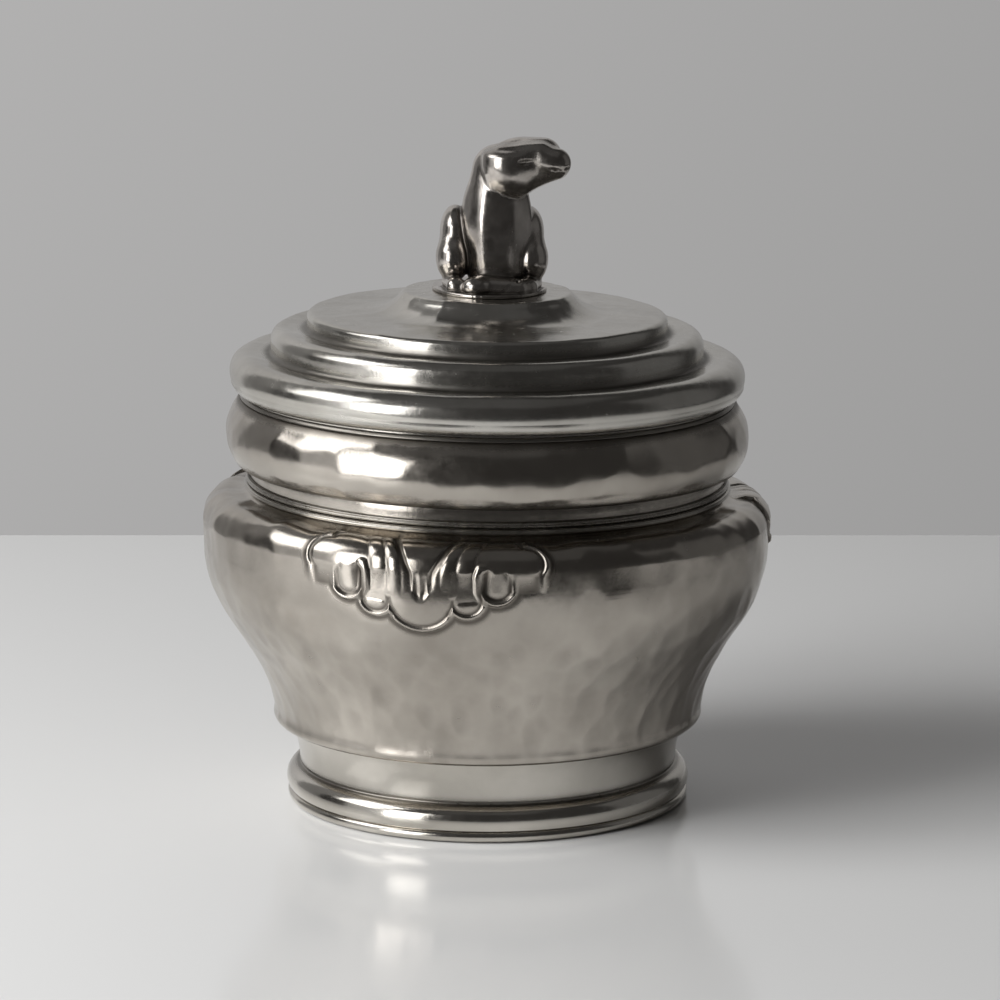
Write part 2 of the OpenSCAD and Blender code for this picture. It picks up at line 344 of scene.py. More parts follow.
def hammer_marks(across, along, girth, width, height, dish, tilt, seed):
    """Relief and tone of a planished skin: every blow leaves a shallow face, and faces meet in soft
    ridges. across runs round the girth and along runs up the skin; width and height are a mark's
    size, dish is how hollow it is and tilt how far it can lean."""
    columns = int(round(girth / width))
    width = girth / columns
    first_row = int(math.floor(along.min() / height)) - 2
    rows = int(math.ceil(along.max() / height)) + 3 - first_row
    draw = np.random.default_rng(seed)
    spot = draw.uniform(-0.42, 0.42, (rows, columns, 2))
    lean = draw.uniform(-tilt, tilt, (rows, columns, 2))
    hollow = dish * width**2
    deep = draw.uniform(0, 0.5, (rows, columns)) * hollow
    shade = draw.uniform(0, 1, (rows, columns))
    blend, tone_blend = 0.16 * hollow, 0.10 * hollow
    cell_x = np.floor(across / width).astype(int)
    cell_y = np.floor(along / height).astype(int)
    total = 0.0
    tone = 0.0
    weight = 1e-12
    for dy in (-1, 0, 1):
        for dx in (-1, 0, 1):
            i = cell_x + dx
            j = cell_y + dy - first_row + 0 * cell_x
            k = np.mod(i, columns) + 0 * j
            off_x = across - (i + 0.5 + spot[j, k, 0]) * width
            off_y = along - (cell_y + dy + 0.5 + spot[j, k, 1]) * height
            face = dish * (off_x**2 + (off_y * width / height) ** 2)
            face = face + lean[j, k, 0] * off_x + lean[j, k, 1] * off_y - deep[j, k]
            total = total + np.exp(-face / blend)
            share = np.exp(-face / tone_blend)
            middle = np.clip(1.3 - 1.5 * np.hypot(off_x / width, off_y / height), 0, 1)
            tone = tone + shade[j, k] * share * middle
            weight = weight + share
    return -blend * np.log(total), tone / weight


def hand_wave(azimuth, along, size, seed):
    """Slow unevenness of work raised by hand, about size high, that closes round the bowl."""
    draw = np.random.default_rng(seed)
    total = 0.0
    for turns in (2, 3, 5, 8, 11, 15):
        for _ in range(2):
            rise = draw.uniform(0.04, 0.22)
            total = total + draw.normal() / turns**0.5 * np.sin(
                turns * azimuth + rise * turns * 0.3 * along + draw.uniform(0, 6.28))
    return 0.3 * size * total


def bump(distance, width):
    return np.exp(-((distance / width) ** 2))


def to_path(u, s, path):
    """Distance from points to a line through the path's points, and how far along it the nearest place is."""
    path = np.array(path, float)
    lengths = np.linalg.norm(np.diff(path, axis=0), axis=1)
    starts = np.concatenate([[0], np.cumsum(lengths)])
    best = np.full(np.broadcast(u, s).shape, 1e9)
    where = np.zeros_like(best)
    for a, b, start, length in zip(path[:-1], path[1:], starts, lengths):
        dx, dy = (b - a) / length
        t = np.clip((u - a[0]) * dx + (s - a[1]) * dy, 0, length)
        d = np.hypot(u - a[0] - t * dx, s - a[1] - t * dy)
        nearer = d < best
        best = np.where(nearer, d, best)
        where = np.where(nearer, (start + t) / starts[-1], where)
    return best, where


def sunk_lines(u, s, paths, width):
    """Lines sunk along paths, deepest where each one starts."""
    deepest = 0.0
    for path in paths:
        d, t = to_path(u, s, path)
        deepest = np.maximum(deepest, bump(d, width) * (1 - t))
    return deepest


def leaf(u, s):
    """Chased leaf that hangs from the neck: u across from its middle, s down the skin from the neck.
    Gives the relief and how hollow each place is. Its two halves mirror each other."""
    side = np.abs(u)
    lobes = [((0.0, 14.3), 7.0), ((8.3, 15.0), 3.7), ((13.6, 12.2), 3.9), ((18.2, 8.2), 4.9)]
    outside = np.hypot(side / 20.0, (s - 4.0) / 13.0) * 13.0 - 13.0
    for (cu, cs), r in lobes:
        outside = np.minimum(outside, np.hypot(side - cu, s - cs) - r)
    inside = smooth_step(0.2, -0.5, outside)
    below_neck = smooth_step(-0.6, 1.6, s)

    # A crisp wire runs round the edge of the leaf, with a sunk line on each side of it
    wire = np.sqrt(np.clip(1 - ((outside + 0.36) / 0.55) ** 2, 0, 1))
    inner_line = bump(outside + 1.15, 0.40)
    outer_line = bump(outside - 0.5, 0.6)

    # The outer lobe is a full cheek, and the middle of the leaf a soft swelling
    pillow = 0.32 * np.clip(1 - np.hypot((side - 16.6) / 6.0, (s - 6.6) / 6.2) ** 2, 0, 1)
    pillow = pillow + 0.10 * np.clip(1 - np.hypot(side / 8.0, (s - 15.5) / 6.0) ** 2, 0, 1)

    # Creases run from the notches between the lobes a little way into the leaf
    crease = sunk_lines(side, s, (
        [(5.6, 18.9), (5.0, 17.6), (4.4, 16.6)],
        [(11.6, 15.6), (10.6, 14.0), (10.1, 12.6)],
        [(17.5, 13.6), (16.4, 12.8), (15.4, 12.5)],
    ), 0.45)

    # The third lobe ends in a fat curl with a bead, round a deep pit
    curl = np.vstack([arc((13.7, 12.2), 3.5, 40, 180, 14), [(10.2, 10.9), (10.6, 9.7)]])
    d, t = to_path(side, s, curl)
    roll = np.sqrt(np.clip(1 - (d / 0.85) ** 2, 0, 1)) * (0.5 + 0.5 * t)
    bead = np.sqrt(np.clip(1 - (np.hypot(side - 11.0, s - 9.3) / 1.1) ** 2, 0, 1))
    within = smooth_step(3.4, 2.6, np.hypot(side - 13.7, s - 12.2))
    curl_line = bump(d - 1.2, 0.42) * (0.4 + 0.6 * t) * within
    pit = bump(np.hypot((side - 12.0) / 0.8, (s - 11.0) / 1.3), 1.0)

    # The middle of the leaf is a raised tongue between two grooves that meet and fade below it. Each
    # groove is steep towards the tongue and shallow outwards, but opens at the tip
    middle = [(6.6, -0.6), (5.0, 3.2), (2.9, 8.2), (1.1, 12.3), (0.1, 15.6)]
    arms, t = to_path(side, s, middle)
    edge = np.interp(np.broadcast_to(s, arms.shape), *np.array(middle)[:, ::-1].T)
    above_tip = smooth_step(15.9, 12.8, s)
    across_arm = (side - edge) / (0.95 - 0.55 * t)
    steep = 0.45 + 1.6 * smooth_step(11.5, 15.0, s)
    groove = np.exp(-np.where(across_arm > 0, across_arm / 1.3, -across_arm / steep) ** 2) * above_tip
    tongue = smooth_step(-0.4, 2.4, edge - side) * smooth_step(15.6, 9.0, s)

    # Two flutes lie beside it, open at the neck and round below
    flutes = 0.0
    flute_line = 0.0
    for path, wide in (
        ([(7.4, 2.0), (5.4, 7.0), (4.7, 10.8)], 1.2),
        ([(10.0, 2.0), (8.4, 6.6), (7.9, 9.6)], 1.5),
    ):
        d, t = to_path(side, s, path)
        flutes = np.maximum(flutes, np.clip(1 - (d / wide) ** 2, 0, 1))
        flute_line = np.maximum(flute_line, bump(d - wide - 0.05, 0.42))

    # Veins close under the neck, and a bean pressed into the second lobe
    veins = ([(16.8, 0.4), (17.8, 3.6)], [(14.4, 0.6), (14.2, 4.4)], [(12.2, 0.6), (11.6, 5.0)])
    vein = sunk_lines(side, s, veins, 0.5)
    bean, _ = to_path(side, s, [(7.4, 16.4), (9.6, 16.2)])
    bean = np.clip(1 - bean**2, 0, 1)

    relief = 0.24 * inside + 0.21 * wire * (1 - 0.7 * crease)
    relief = relief + inside * (pillow + 0.12 * tongue + 0.15 * flutes + 0.10 * bean)
    relief = relief + 0.42 * np.maximum(roll, bead) * inside - 0.06 * outer_line * (1 - inside)
    relief = relief - inside * (0.12 * inner_line + 0.40 * groove + 0.05 * flute_line + 0.10 * crease)
    relief = relief - inside * (0.07 * vein + 0.20 * curl_line + 0.34 * pit)
    hollow = 0.9 * outer_line * (1 - inside) + inside * (
        0.8 * inner_line + 0.8 * groove + 0.4 * flute_line + 0.5 * crease
        + 0.8 * pit + 0.6 * curl_line + 0.3 * vein)
    return relief * below_neck, np.clip(hollow, 0, 1) * below_neck


LEAF_TURNS = np.radians([12.9, 132.9, 252.9])  # azimuth of each leaf's middle
MARK_TONE = 0.24  # how much darker the darkest hammer marks are
GROUND_SINK = 0.14  # how far the bowl's skin is kept in, so that the leaves stay inside the CAD box
LEAF_SINK = 0.72  # how much further it is kept in round the leaves
LEAF_DROP = 1.7  # from the neck down the skin


def along_skin(outline, points):
    """How far along a fine outline each point lies, and how far off it."""
    fine = respace(outline, lambda r, z: 0.05)
    along = np.concatenate([[0], np.cumsum(np.linalg.norm(np.diff(fine, axis=0), axis=1))])
    gap = np.array([np.hypot(*(fine - p).T) for p in points])
    return along[gap.argmin(axis=1)], gap.min(axis=1)


def bowl_relief(azimuth, radius, level, out_r, out_z):
    """Hammer marks and chased leaves on the outside of the bowl. Round the leaves the inside of the
    sheet goes in with the outside, so that it keeps its thickness."""
    outline = bowl_outline(0.0)
    along, gap = along_skin(outline, np.column_stack([radius, level]))
    neck, _ = along_skin(outline, [[neck_r, shoulder_z]])
    down = (neck - along)[:, None]
    skin = (gap < 0.3)[:, None] & (down > 0.2) & (radius > 5)
    inside = (np.abs(gap - SHEET) < 0.3)[:, None] & (down > 0.2) & (radius > 5)
    below_neck = smooth_step(0.2, 2.5, down)
    across = azimuth * belly_r + 0 * down
    down = down + 0 * azimuth
    girth = TURN * belly_r

    # Narrow marks low on the flank give way to broad ones towards the shoulder
    low, low_tone = hammer_marks(
        across, down, girth, width=3.9, height=5.4, dish=0.017, tilt=0.040, seed=11)
    broad, broad_tone = hammer_marks(
        across, down, girth, width=5.4, height=5.8, dish=0.013, tilt=0.040, seed=12)
    share = smooth_step(30.0, 12.0, down)
    relief = (1 - share) * low + share * (broad + 0.3 * low) + hand_wave(azimuth, down, 0.12, 13)
    relief = (relief - relief.max()) * smooth_step(15.0, 17.4, level)
    hollow = MARK_TONE * ((1 - 0.5 * share) * low_tone + 0.5 * share * broad_tone)

    # Round each leaf the skin is sunk and its marks are calm
    sunk = 0.0
    for turn in LEAF_TURNS:
        off = np.mod(azimuth - turn + math.pi, TURN) - math.pi
        u = -off * belly_r + 0 * down
        chased, dark = leaf(u, down - LEAF_DROP)
        keep = smooth_step(28.5, 25.5, np.abs(u)) * smooth_step(28.0, 24.5, down)
        calm = smooth_step(31.0, 24.0, np.abs(u)) * smooth_step(29.0, 22.5, down)
        relief = relief * (1 - 0.7 * calm) + keep * chased - LEAF_SINK * calm
        sunk = sunk + LEAF_SINK * calm
        hollow = np.maximum(hollow * (1 - 0.6 * calm), keep * dark)
    relief = np.minimum(relief - GROUND_SINK, (belly_r - radius) / np.maximum(out_r, 0.3))
    relief = np.where(skin, relief, np.where(inside, sunk * below_neck, 0.0))
    return relief, np.where(skin, hollow, 0.0)


def band_relief(azimuth, radius, level, out_r, out_z):
    """Broad planishing on the outside of the rim band, painted shade along its top edge under the lid, and
    darkening along its lower edge.
    """
    outside = (radius > neck_r + 0.4) & (out_r > -0.2)
    across = azimuth * band_r + 0 * level
    marks, tone = hammer_marks(across, level + 0 * azimuth, TURN * band_r,
                               width=5.4, height=5.0, dish=0.010, tilt=0.03, seed=21)
    relief = marks + hand_wave(azimuth, level, 0.12, 22)
    ends = smooth_step(band_low_z, band_low_z + 1.6, level) * smooth_step(band_top_z, band_top_z - 1.2, level)
    relief = (relief - relief.max()) * ends
    skin = outside & (np.hypot(radius - (band_r - band_low_round), level - band_z) > band_low_round - 0.4)
    # Painted shade along the top edge, where the lid's rolled edge overhangs; the lower edge is darkened as
    # well
    edge_darkening = 0.9 * smooth_step(band_top_z - 1.5, band_top_z - 0.1, level)
    edge_darkening = edge_darkening + 0.6 * smooth_step(band_low_z + 1.6, band_low_z, level)
    return np.where(skin, relief, 0.0), np.where(skin, 0.5 * MARK_TONE * tone, 0.0) + edge_darkening


def lid_relief(azimuth, radius, level, out_r, out_z):
    """Faint unevenness of the smooth lid, dirt in its gutters, and painted shade under its rolled edge next
    to the seat.
    """
    along = 95 - radius
    wave = hand_wave(azimuth, along, 0.09, 31)
    marks, _ = hammer_marks(azimuth * lid_r + 0 * radius, along + 0 * azimuth, TURN * lid_r,
                            width=7.5, height=6.5, dish=0.0022, tilt=0.010, seed=32)
    relief = wave + marks
    relief = relief - relief.max()
    top = out_z > -0.35
    off_boss = smooth_step(stud_hole_r + 8.6, stud_hole_r + 12.0, radius)
    fade = off_boss * smooth_step(seat_z + 0.2, seat_z + 1.5, level)
    dark = bump(np.hypot(radius - step_r - 0.3, level - gutter_z), 0.8)
    dark = np.maximum(dark, bump(np.hypot(radius - platform_r - 0.3, level - step_z), 0.7))
    # Painted shade on the underside of the rolled edge, close to the seat
    dark = np.maximum(dark, smooth_step(-0.62, -0.88, out_z) * smooth_step(seat_z + 2.2, seat_z + 0.9, level))
    return np.where(top, relief * fade, 0.0), dark + 0 * azimuth


def neck_dirt(azimuth, radius, level, out_r, out_z):
    """Dirt that collects deep between the neck wires and under the band."""
    deep = smooth_step(lower_wire_r - 0.1, neck_r + 0.2, radius)
    return 0.0, 0.30 + 0.55 * deep + 0 * azimuth


def mouth_painted_shadow(azimuth, radius, level, out_r, out_z):
    """Painted shadow all over the wire under the lid's rolled edge."""
    return 0.0, 0.75 + 0 * radius + 0 * azimuth


def foot_relief(azimuth, radius, level, out_r, out_z):
    """Slight unevenness of the turned foot, and dirt where the roll meets the waist."""
    wave = hand_wave(azimuth, level, 0.05, 41)
    wave = (wave - wave.max()) * smooth_step(foot_low_z, foot_low_z + 1, level)
    wave = wave * smooth_step(foot_top_z, foot_top_z - 1.5, level)
    dark = bump(np.hypot(radius - foot_waist_r - 0.3, level - roll_top_z - 0.2), 0.7)
    return np.where(out_r > 0, wave, 0.0), dark + 0 * azimuth


# ---- materials


# Colour of tarnish in hollows, also used for painted shade under the lid's edge
TARNISH_AND_SHADE = (0.060, 0.050, 0.040)


def node(tree, kind, x, y, inputs, **settings):
    """A new node at (x, y) in a tree, its inputs fed by values or by other nodes' outputs."""
    made = tree.nodes.new(kind)
    made.location = (x, y)
    for key, value in settings.items():
        setattr(made, key, value)
    feed(tree, made, inputs)
    return made


def feed(tree, made, inputs):
    for key, value in inputs.items():
        if isinstance(value, bpy.types.NodeSocket):
            tree.links.new(value, made.inputs[key])
        else:
            made.inputs[key].default_value = value


def new_material(name):
    made = bpy.data.materials.new(name)
    made.use_nodes = True
    return made, made.node_tree, made.node_tree.nodes["Principled BSDF"]


def noise(tree, x, y, vector, scale, detail, roughness=0.5):
    inputs = {"Vector": vector, "Scale": scale, "Detail": detail, "Roughness": roughness}
    return node(tree, "ShaderNodeTexNoise", x, y, inputs).outputs["Fac"]


def silver(name, tint, dull, rough, rough_spread, tarnish_and_shade, scratch=0.25, patch=18.0):
    """Worn silver: two tints in patches of about patch mm, uneven gloss, tarnish in hollows and painted shade
    where the hollow attribute marks it, fine scratches.
    """
    made, tree, shader = new_material(name)
    where = node(tree, "ShaderNodeTexCoord", -1500, 0, {}).outputs["Object"]
    in_mm = node(tree, "ShaderNodeMapping", -1300, 200, {"Vector": where, "Scale": (1 / MM, 1 / MM, 1 / MM)})
    clouds = noise(tree, -1100, 300, in_mm.outputs["Vector"], 1.0 / patch, 6.0, 0.6)
    specks = noise(tree, -1100, 50, in_mm.outputs["Vector"], 0.55, 5.0, 0.7)

    # Colour: the two tints in patches, and the tarnish colour where the hollow attribute says: tarnish in
    # hollows, and painted shade under the lid's edge
    tones = node(tree, "ShaderNodeValToRGB", -850, 300, {"Fac": clouds})
    for end, position, colour in ((0, 0.32, dull), (1, 0.66, tint)):
        tones.color_ramp.elements[end].position = position
        tones.color_ramp.elements[end].color = (*colour, 1)
    hollow = node(tree, "ShaderNodeAttribute", -1100, -200, {}, attribute_name="hollow")
    tarnish_and_shade_share = node(tree, "ShaderNodeMath", -850, -150, {0: hollow.outputs["Fac"], 1: tarnish_and_shade},
                 operation="MULTIPLY").outputs[0]
    mixed = node(tree, "ShaderNodeMix", -500, 250,
                 {"Factor": tarnish_and_shade_share, "A": tones.outputs["Color"], "B": (*TARNISH_AND_SHADE, 1)}, data_type="RGBA")

    # Gloss: uneven in specks, and duller where there is tarnish or painted shade
    gloss = node(tree, "ShaderNodeMapRange", -700, -50, {
        "Value": specks, "From Min": 0.3, "From Max": 0.7,
        "To Min": rough - rough_spread, "To Max": rough + rough_spread})
    rougher = node(tree, "ShaderNodeMath", -450, -50, {0: tarnish_and_shade_share, 1: 0.25, 2: gloss.outputs["Result"]},
                   operation="MULTIPLY_ADD")

    # Relief too fine for the mesh: specks, and scratches drawn out along one direction
    grain = node(tree, "ShaderNodeMapping", -1300, -450, {
        "Vector": where, "Rotation": (0.4, 0.2, 0.9), "Scale": (6000.0, 900.0, 2500.0)})
    scratches = noise(tree, -1050, -450, grain.outputs["Vector"], 0.35, 4.0)
    ripples = node(tree, "ShaderNodeMath", -800, -400, {0: scratches, 1: specks}, operation="ADD")
    relief = node(tree, "ShaderNodeBump", -450, -350, {
        "Strength": scratch, "Distance": 0.04 * MM, "Height": ripples.outputs[0]})
    feed(tree, shader, {
        "Metallic": 1.0, "Base Color": mixed.outputs["Result"],
        "Roughness": rougher.outputs[0], "Normal": relief.outputs["Normal"]})
    return made


def card(name, strength, colour):
    """A surface that glows evenly, for the studio's backdrop. Gives the material and its glowing node."""
    made, tree, shader = new_material(name)
    tree.nodes.remove(shader)
    glow = node(tree, "ShaderNodeEmission", 0, 0, {"Color": (*colour, 1), "Strength": strength})
    feed(tree, tree.nodes["Material Output"], {"Surface": glow.outputs["Emission"]})
    return made, glow


hammered_silver = silver(
    "hammered_silver", tint=(0.54, 0.502, 0.45), dull=(0.405, 0.372, 0.33),
    rough=0.20, rough_spread=0.05, tarnish_and_shade=0.85)
polished_silver = silver(
    "polished_silver", tint=(0.63, 0.60, 0.55), dull=(0.48, 0.455, 0.41),
    rough=0.17, rough_spread=0.04, tarnish_and_shade=0.8)
lid_silver = silver(
    "lid_silver", tint=(0.62, 0.60, 0.56), dull=(0.48, 0.46, 0.42),
    rough=0.23, rough_spread=0.05, tarnish_and_shade=0.8)
cast_silver = silver(
    "cast_silver", tint=(0.64, 0.60, 0.56), dull=(0.40, 0.37, 0.34),
    rough=0.21, rough_spread=0.06, tarnish_and_shade=0.9, scratch=0.45, patch=5.0)
fastener_silver = silver(
    "fastener_silver", tint=(0.55, 0.52, 0.47), dull=(0.42, 0.40, 0.36),
    rough=0.28, rough_spread=0.06, tarnish_and_shade=0.8)


def place(made, body, slot, material, *replaced):
    """Puts a finished piece on its CAD body in place of its CAD nodes."""
    made.data.materials.clear()
    made.data.materials.append(material)
    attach(made, body)
    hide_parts(*replaced)
    return made


# ---- the bowl


def closed(outer, inner):
    """A closed outline, up the outer skin and down the inner one."""
    return np.vstack([outer, inner[::-1]])


def turn_with_leaves():
    """Azimuths round the bowl, four times closer together where the leaves are."""
    near = math.radians(27)
    columns = 1500
    angle = np.linspace(0, TURN, 4001)
    off = np.abs(np.mod(angle[:-1, None] - LEAF_TURNS + math.pi, TURN) - math.pi).min(axis=1)
    count = np.concatenate([[0], np.cumsum(np.where(off < near, 4.0, 1.0))])
    return np.interp(np.arange(columns) * count[-1] / columns, count, angle)


def make_bowl():
    outer, inner = bowl_outline(0.0), bowl_outline(SHEET)

    def spacing(r, z):
        """Fine over the leaves, coarser over the hammered flank, coarse inside and underneath."""
        outside = np.hypot(*(outer - (r, z)).T).min() < 0.4
        if not outside or r < 30:
            return 2.5
        return 0.16 if z > shoulder_z - 16.5 else 0.45

    made = spin("bowl_body_hammered", closed(outer, inner), turn_with_leaves(), bowl_relief,
                spacing=spacing)
    place(made, "bowl", "hammered_silver", hammered_silver, "bowl_body")


def make_band():
    outline = closed(band_outline(0.0, band_low_z), band_outline(SHEET, band_low_z + SHEET))
    made = spin("rim_band_hammered", outline, even_turn(720), band_relief, spacing=lambda r, z: 0.4)
    place(made, "bowl", "hammered_silver", hammered_silver, "rim_band")


def make_neck_wires():
    """Two half-round wires round the neck, each with a fine groove along it."""
    for name, low, high, outer_r in (
        ("lower_neck_wire", shoulder_z, lower_wire_top_z, lower_wire_r),
        ("upper_neck_wire", lower_wire_top_z, upper_wire_top_z, upper_wire_r),
    ):
        half = (high - low) / 2
        angle = np.radians(np.linspace(-90, 90, 49))
        out = outer_r - neck_r - NECK_WIRE_ROOT
        groove = 0.16 * bump(np.degrees(angle) - 8, 13)
        reeded = np.column_stack([
            neck_r + NECK_WIRE_ROOT + out * np.cos(angle) - groove,
            low + half + half * np.sin(angle)])
        outline = np.vstack([[[neck_r, low]], reeded, [[neck_r, high]]])
        made = spin(name + "_reeded", outline, even_turn(360), neck_dirt, edge=0.08,
                    spacing=lambda r, z: 0.08)
        place(made, "bowl", "polished_silver", polished_silver, name)


def make_mouth_wire():
    """Wire on top of the rim band, its bevel worn round."""
    top_angle = math.asin((band_top_z - band_z) / band_high_round)
    shoulder = band_r - band_high_round + band_high_round * math.cos(top_angle)
    outline = np.array([
        [mouth_r, band_top_z], [shoulder, band_top_z], [shoulder - 0.35, seat_z - 0.5],
        [shoulder - 1.0, seat_z], [mouth_r + 0.2, seat_z], [mouth_r, seat_z - 0.2]])
    # The wire is darkened all over: painted shadow of the lid's rolled edge
    made = spin("mouth_wire_worn", outline, even_turn(480), mouth_painted_shadow, edge=0.25, spacing=lambda r, z: 0.12)
    place(made, "bowl", "polished_silver", polished_silver, "mouth_wire")


def make_foot():
    """The foot, and the round wire under it, which is flat where it meets the foot and the table."""
    outline = closed(foot_outline(0.0), foot_outline(FOOT_SHEET))
    made = spin("foot_ring_turned", outline, even_turn(480), foot_relief, spacing=lambda r, z: 0.25)
    place(made, "bowl", "polished_silver", polished_silver, "foot_ring")
    half = foot_low_z / 2
    flat = math.degrees(math.asin(half / BASE_WIRE_ROUND))
    wire_r = base_wire_outer_r - BASE_WIRE_ROUND
    outline = np.vstack([
        arc([wire_r, half], BASE_WIRE_ROUND, -flat, flat, 12),
        arc([wire_r, half], BASE_WIRE_ROUND, 180 - flat, 180 + flat, 12)])
    made = spin("foot_wire_worn", outline, even_turn(360), None, edge=0.1, spacing=lambda r, z: 0.15)
    place(made, "bowl", "polished_silver", polished_silver, "foot_wire")


# ---- the lid


def make_lid():
    """The lid in one sheet, open under its rolled edge."""
    outer_angle = math.degrees(math.asin((seat_z - lid_widest_z) / lid_low_round))
    inner_round = lid_low_round - LID_SHEET
    inner_angle = -math.degrees(math.acos((lid_lip_r - lid_r + lid_low_round) / inner_round))
    outer = np.vstack([lid_roll(0.0, outer_angle), lid_outline(0.0)])
    inner = np.vstack([[[lid_lip_r, seat_z]], lid_roll(LID_SHEET, inner_angle), lid_outline(LID_SHEET)])
    made = spin("lid_shell_raised", closed(outer, inner), even_turn(720), lid_relief,
                spacing=lambda r, z: 0.35)
    place(made, "lid", "lid_silver", lid_silver, "lid_shell")


def make_flange():
    """Locating ring under the lid, with its lower edge worn round."""
    low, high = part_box("lid_flange")
    outer_r = high.x / MM
    outline = np.array([
        [outer_r - FLANGE_SHEET, low.z / MM], [outer_r, low.z / MM],
        [outer_r, high.z / MM], [outer_r - FLANGE_SHEET, high.z / MM]])
    made = spin("lid_flange_worn", outline, even_turn(360), None, edge=0.3, spacing=lambda r, z: 0.4)
    place(made, "lid", "polished_silver", polished_silver, "lid_flange")


# ---- the animal, as a field of distances


def ball(p, centre, radii):
    """Distance to an ellipsoid, close enough to be blended."""
    q = (p - np.array(centre)) / np.array(radii)
    length = np.linalg.norm(q, axis=-1)
    slope = np.linalg.norm(q / np.array(radii), axis=-1)
    return length * (length - 1) / np.maximum(slope, 1e-6)


def limb(p, a, ra, b, rb):
    """Distance to a limb that tapers between two balls."""
    a, b = np.array(a, float), np.array(b, float)
    axis = b - a
    t = np.clip(((p - a) @ axis) / (axis @ axis), 0, 1)
    return np.linalg.norm(p - a - t[..., None] * axis, axis=-1) - (ra + (rb - ra) * t)


def join(a, b, k):
    """Union of two shapes with a fillet of about k."""
    h = np.clip(0.5 + 0.5 * (b - a) / k, 0, 1)
    return b + (a - b) * h - k * h * (1 - h)


def carve(a, b, k):
    """Shape a with shape b taken away, its edge softened by about k."""
    return -join(-a, b, k)


def prism(p, faces, k):
    """Distance to an upright column with faces (azimuth to the right, distance), its edges rounded by k."""
    total = 0.0
    for azimuth, far in faces:
        a = math.radians(azimuth)
        total = total + np.exp((p[..., 0] * math.sin(a) - p[..., 1] * math.cos(a) - far) / k)
    return k * np.log(total)


def animal(p):
    """Distance to the seated animal: base plate at level 0, chest to the front, head to the right."""
    x, y, z = p[..., 0], p[..., 1], p[..., 2]
    rump = limb(p, (-0.4, 5.4, 7.6), 6.2, (0.8, 1.8, 15.5), 4.7)
    neck = limb(p, (1.2, -1.2, 12.5), 4.9, (2.0, -1.4, 21.9), 4.75)
    shape = join(rump, neck, 2.0)
    column = prism(p, [(0, 7.7), (-58, 5.25), (48, 8.4), (-100, 4.3), (95, 8.1), (180, 2.0)], 0.5)
    column = column + 0.9 * ((z - 12.0) / 9.5) ** 2 + 0.022 * np.maximum(z - 12.5, 0) ** 2
    column = -join(-column, -(np.abs(z - 10.2) - 10.2), 0.8)
    shape = join(shape, column, 2.2)
    for side in (-1, 1):
        middle = 0.85 + side * 6.95
        hip = ball(p, (middle - side * 0.25, 1.6, 10.4), (2.75, 5.2, 4.7))
        knee = ball(p, (middle + side * 0.1, -0.8, 5.9), (3.15, 4.8, 4.5))
        haunch = join(hip, knee, 1.2)
        shape = join(shape, haunch, 0.6)
        hind = limb(p, (middle + side * 0.4, -1.6, 1.5), 1.7, (middle - side * 0.4, -6.0, 1.4), 1.45)
        toe = limb(p, (middle - side * 0.4, -6.0, 1.3), 1.5, (middle - side * 2.6, -7.0, 1.2), 1.2)
        shape = join(shape, join(hind, toe, 0.9), 0.5)
    paw = limb(p, (-1.6, -8.0, 1.6), 2.1, (5.6, -7.8, 1.3), 1.8)
    near_paw = ball(p, (-1.9, -8.8, 1.8), (2.5, 2.3, 1.9))
    shape = join(join(shape, paw, 1.2), near_paw, 0.6)
    shape = carve(shape, limb(p, (2.8, -10.4, 0.6), 0.2, (4.8, -9.6, 3.2), 0.15), 0.7)
    shape = carve(shape, limb(p, (5.5, -8.4, 2.6), 0.3, (5.6, -7.6, 9.2), 0.1), 0.6)

    # The head: a cheek that falls back below, a hooded edge behind it, a shelf of brow, a short blunt snout
    cheek = ball(p, (4.2, -4.4, 23.6), (5.3, 4.9, 6.5))
    cheek = -join(-cheek, 26.0 - z, 1.2)
    skull = ball(p, (5.8, -2.0, 23.9), (5.0, 3.9, 4.1))
    snout = limb(p, (8.4, -4.4, 23.8), 3.3, (12.4, -6.2, 24.1), 2.6)
    jaw = limb(p, (5.2, -3.6, 20.9), 3.0, (12.0, -5.2, 23.2), 2.3)
    crown = ball(p, (8.3, -2.7, 25.2), (3.6, 3.2, 2.8))
    head = join(join(join(join(skull, cheek, 1.8), snout, 1.6), jaw, 1.4), crown, 1.4)
    forehead = ball(p, (10.3, -3.0, 25.4), (2.9, 2.7, 2.6))
    brow = limb(p, (2.4, -5.4, 25.3), 1.2, (9.6, -6.6, 26.0), 1.5)
    lip = ball(p, (10.9, -7.0, 24.6), (2.3, 1.6, 1.7))
    head = join(join(join(head, forehead, 1.3), brow, 1.6), lip, 1.1)
    edge = [(3.2, -4.4, 26.2), (1.5, -6.0, 24.4), (0.5, -6.5, 21.8), (1.0, -6.1, 19.4)]
    hood = 1e9
    for a, b in zip(edge[:-1], edge[1:]):
        hood = np.minimum(hood, limb(p, a, 0.7, b, 0.7))
    head = join(head, hood, 0.9)
    head = carve(head, ball(p, (7.2, -8.9, 24.2), (1.5, 0.8, 0.45)), 0.7)
    head = carve(head, limb(p, (15.4, -7.2, 23.4), 0.1, (11.2, -8.8, 23.0), 0.05), 0.5)
    shape = join(shape, head, 0.35)

    plate = np.hypot((x - 0.4) / 10.4, y / 11.6) * 11.0 - 11.0
    plate = np.maximum(plate, np.abs(z - 0.3) - 0.32)
    return np.maximum(join(shape, plate, 0.3), -z)


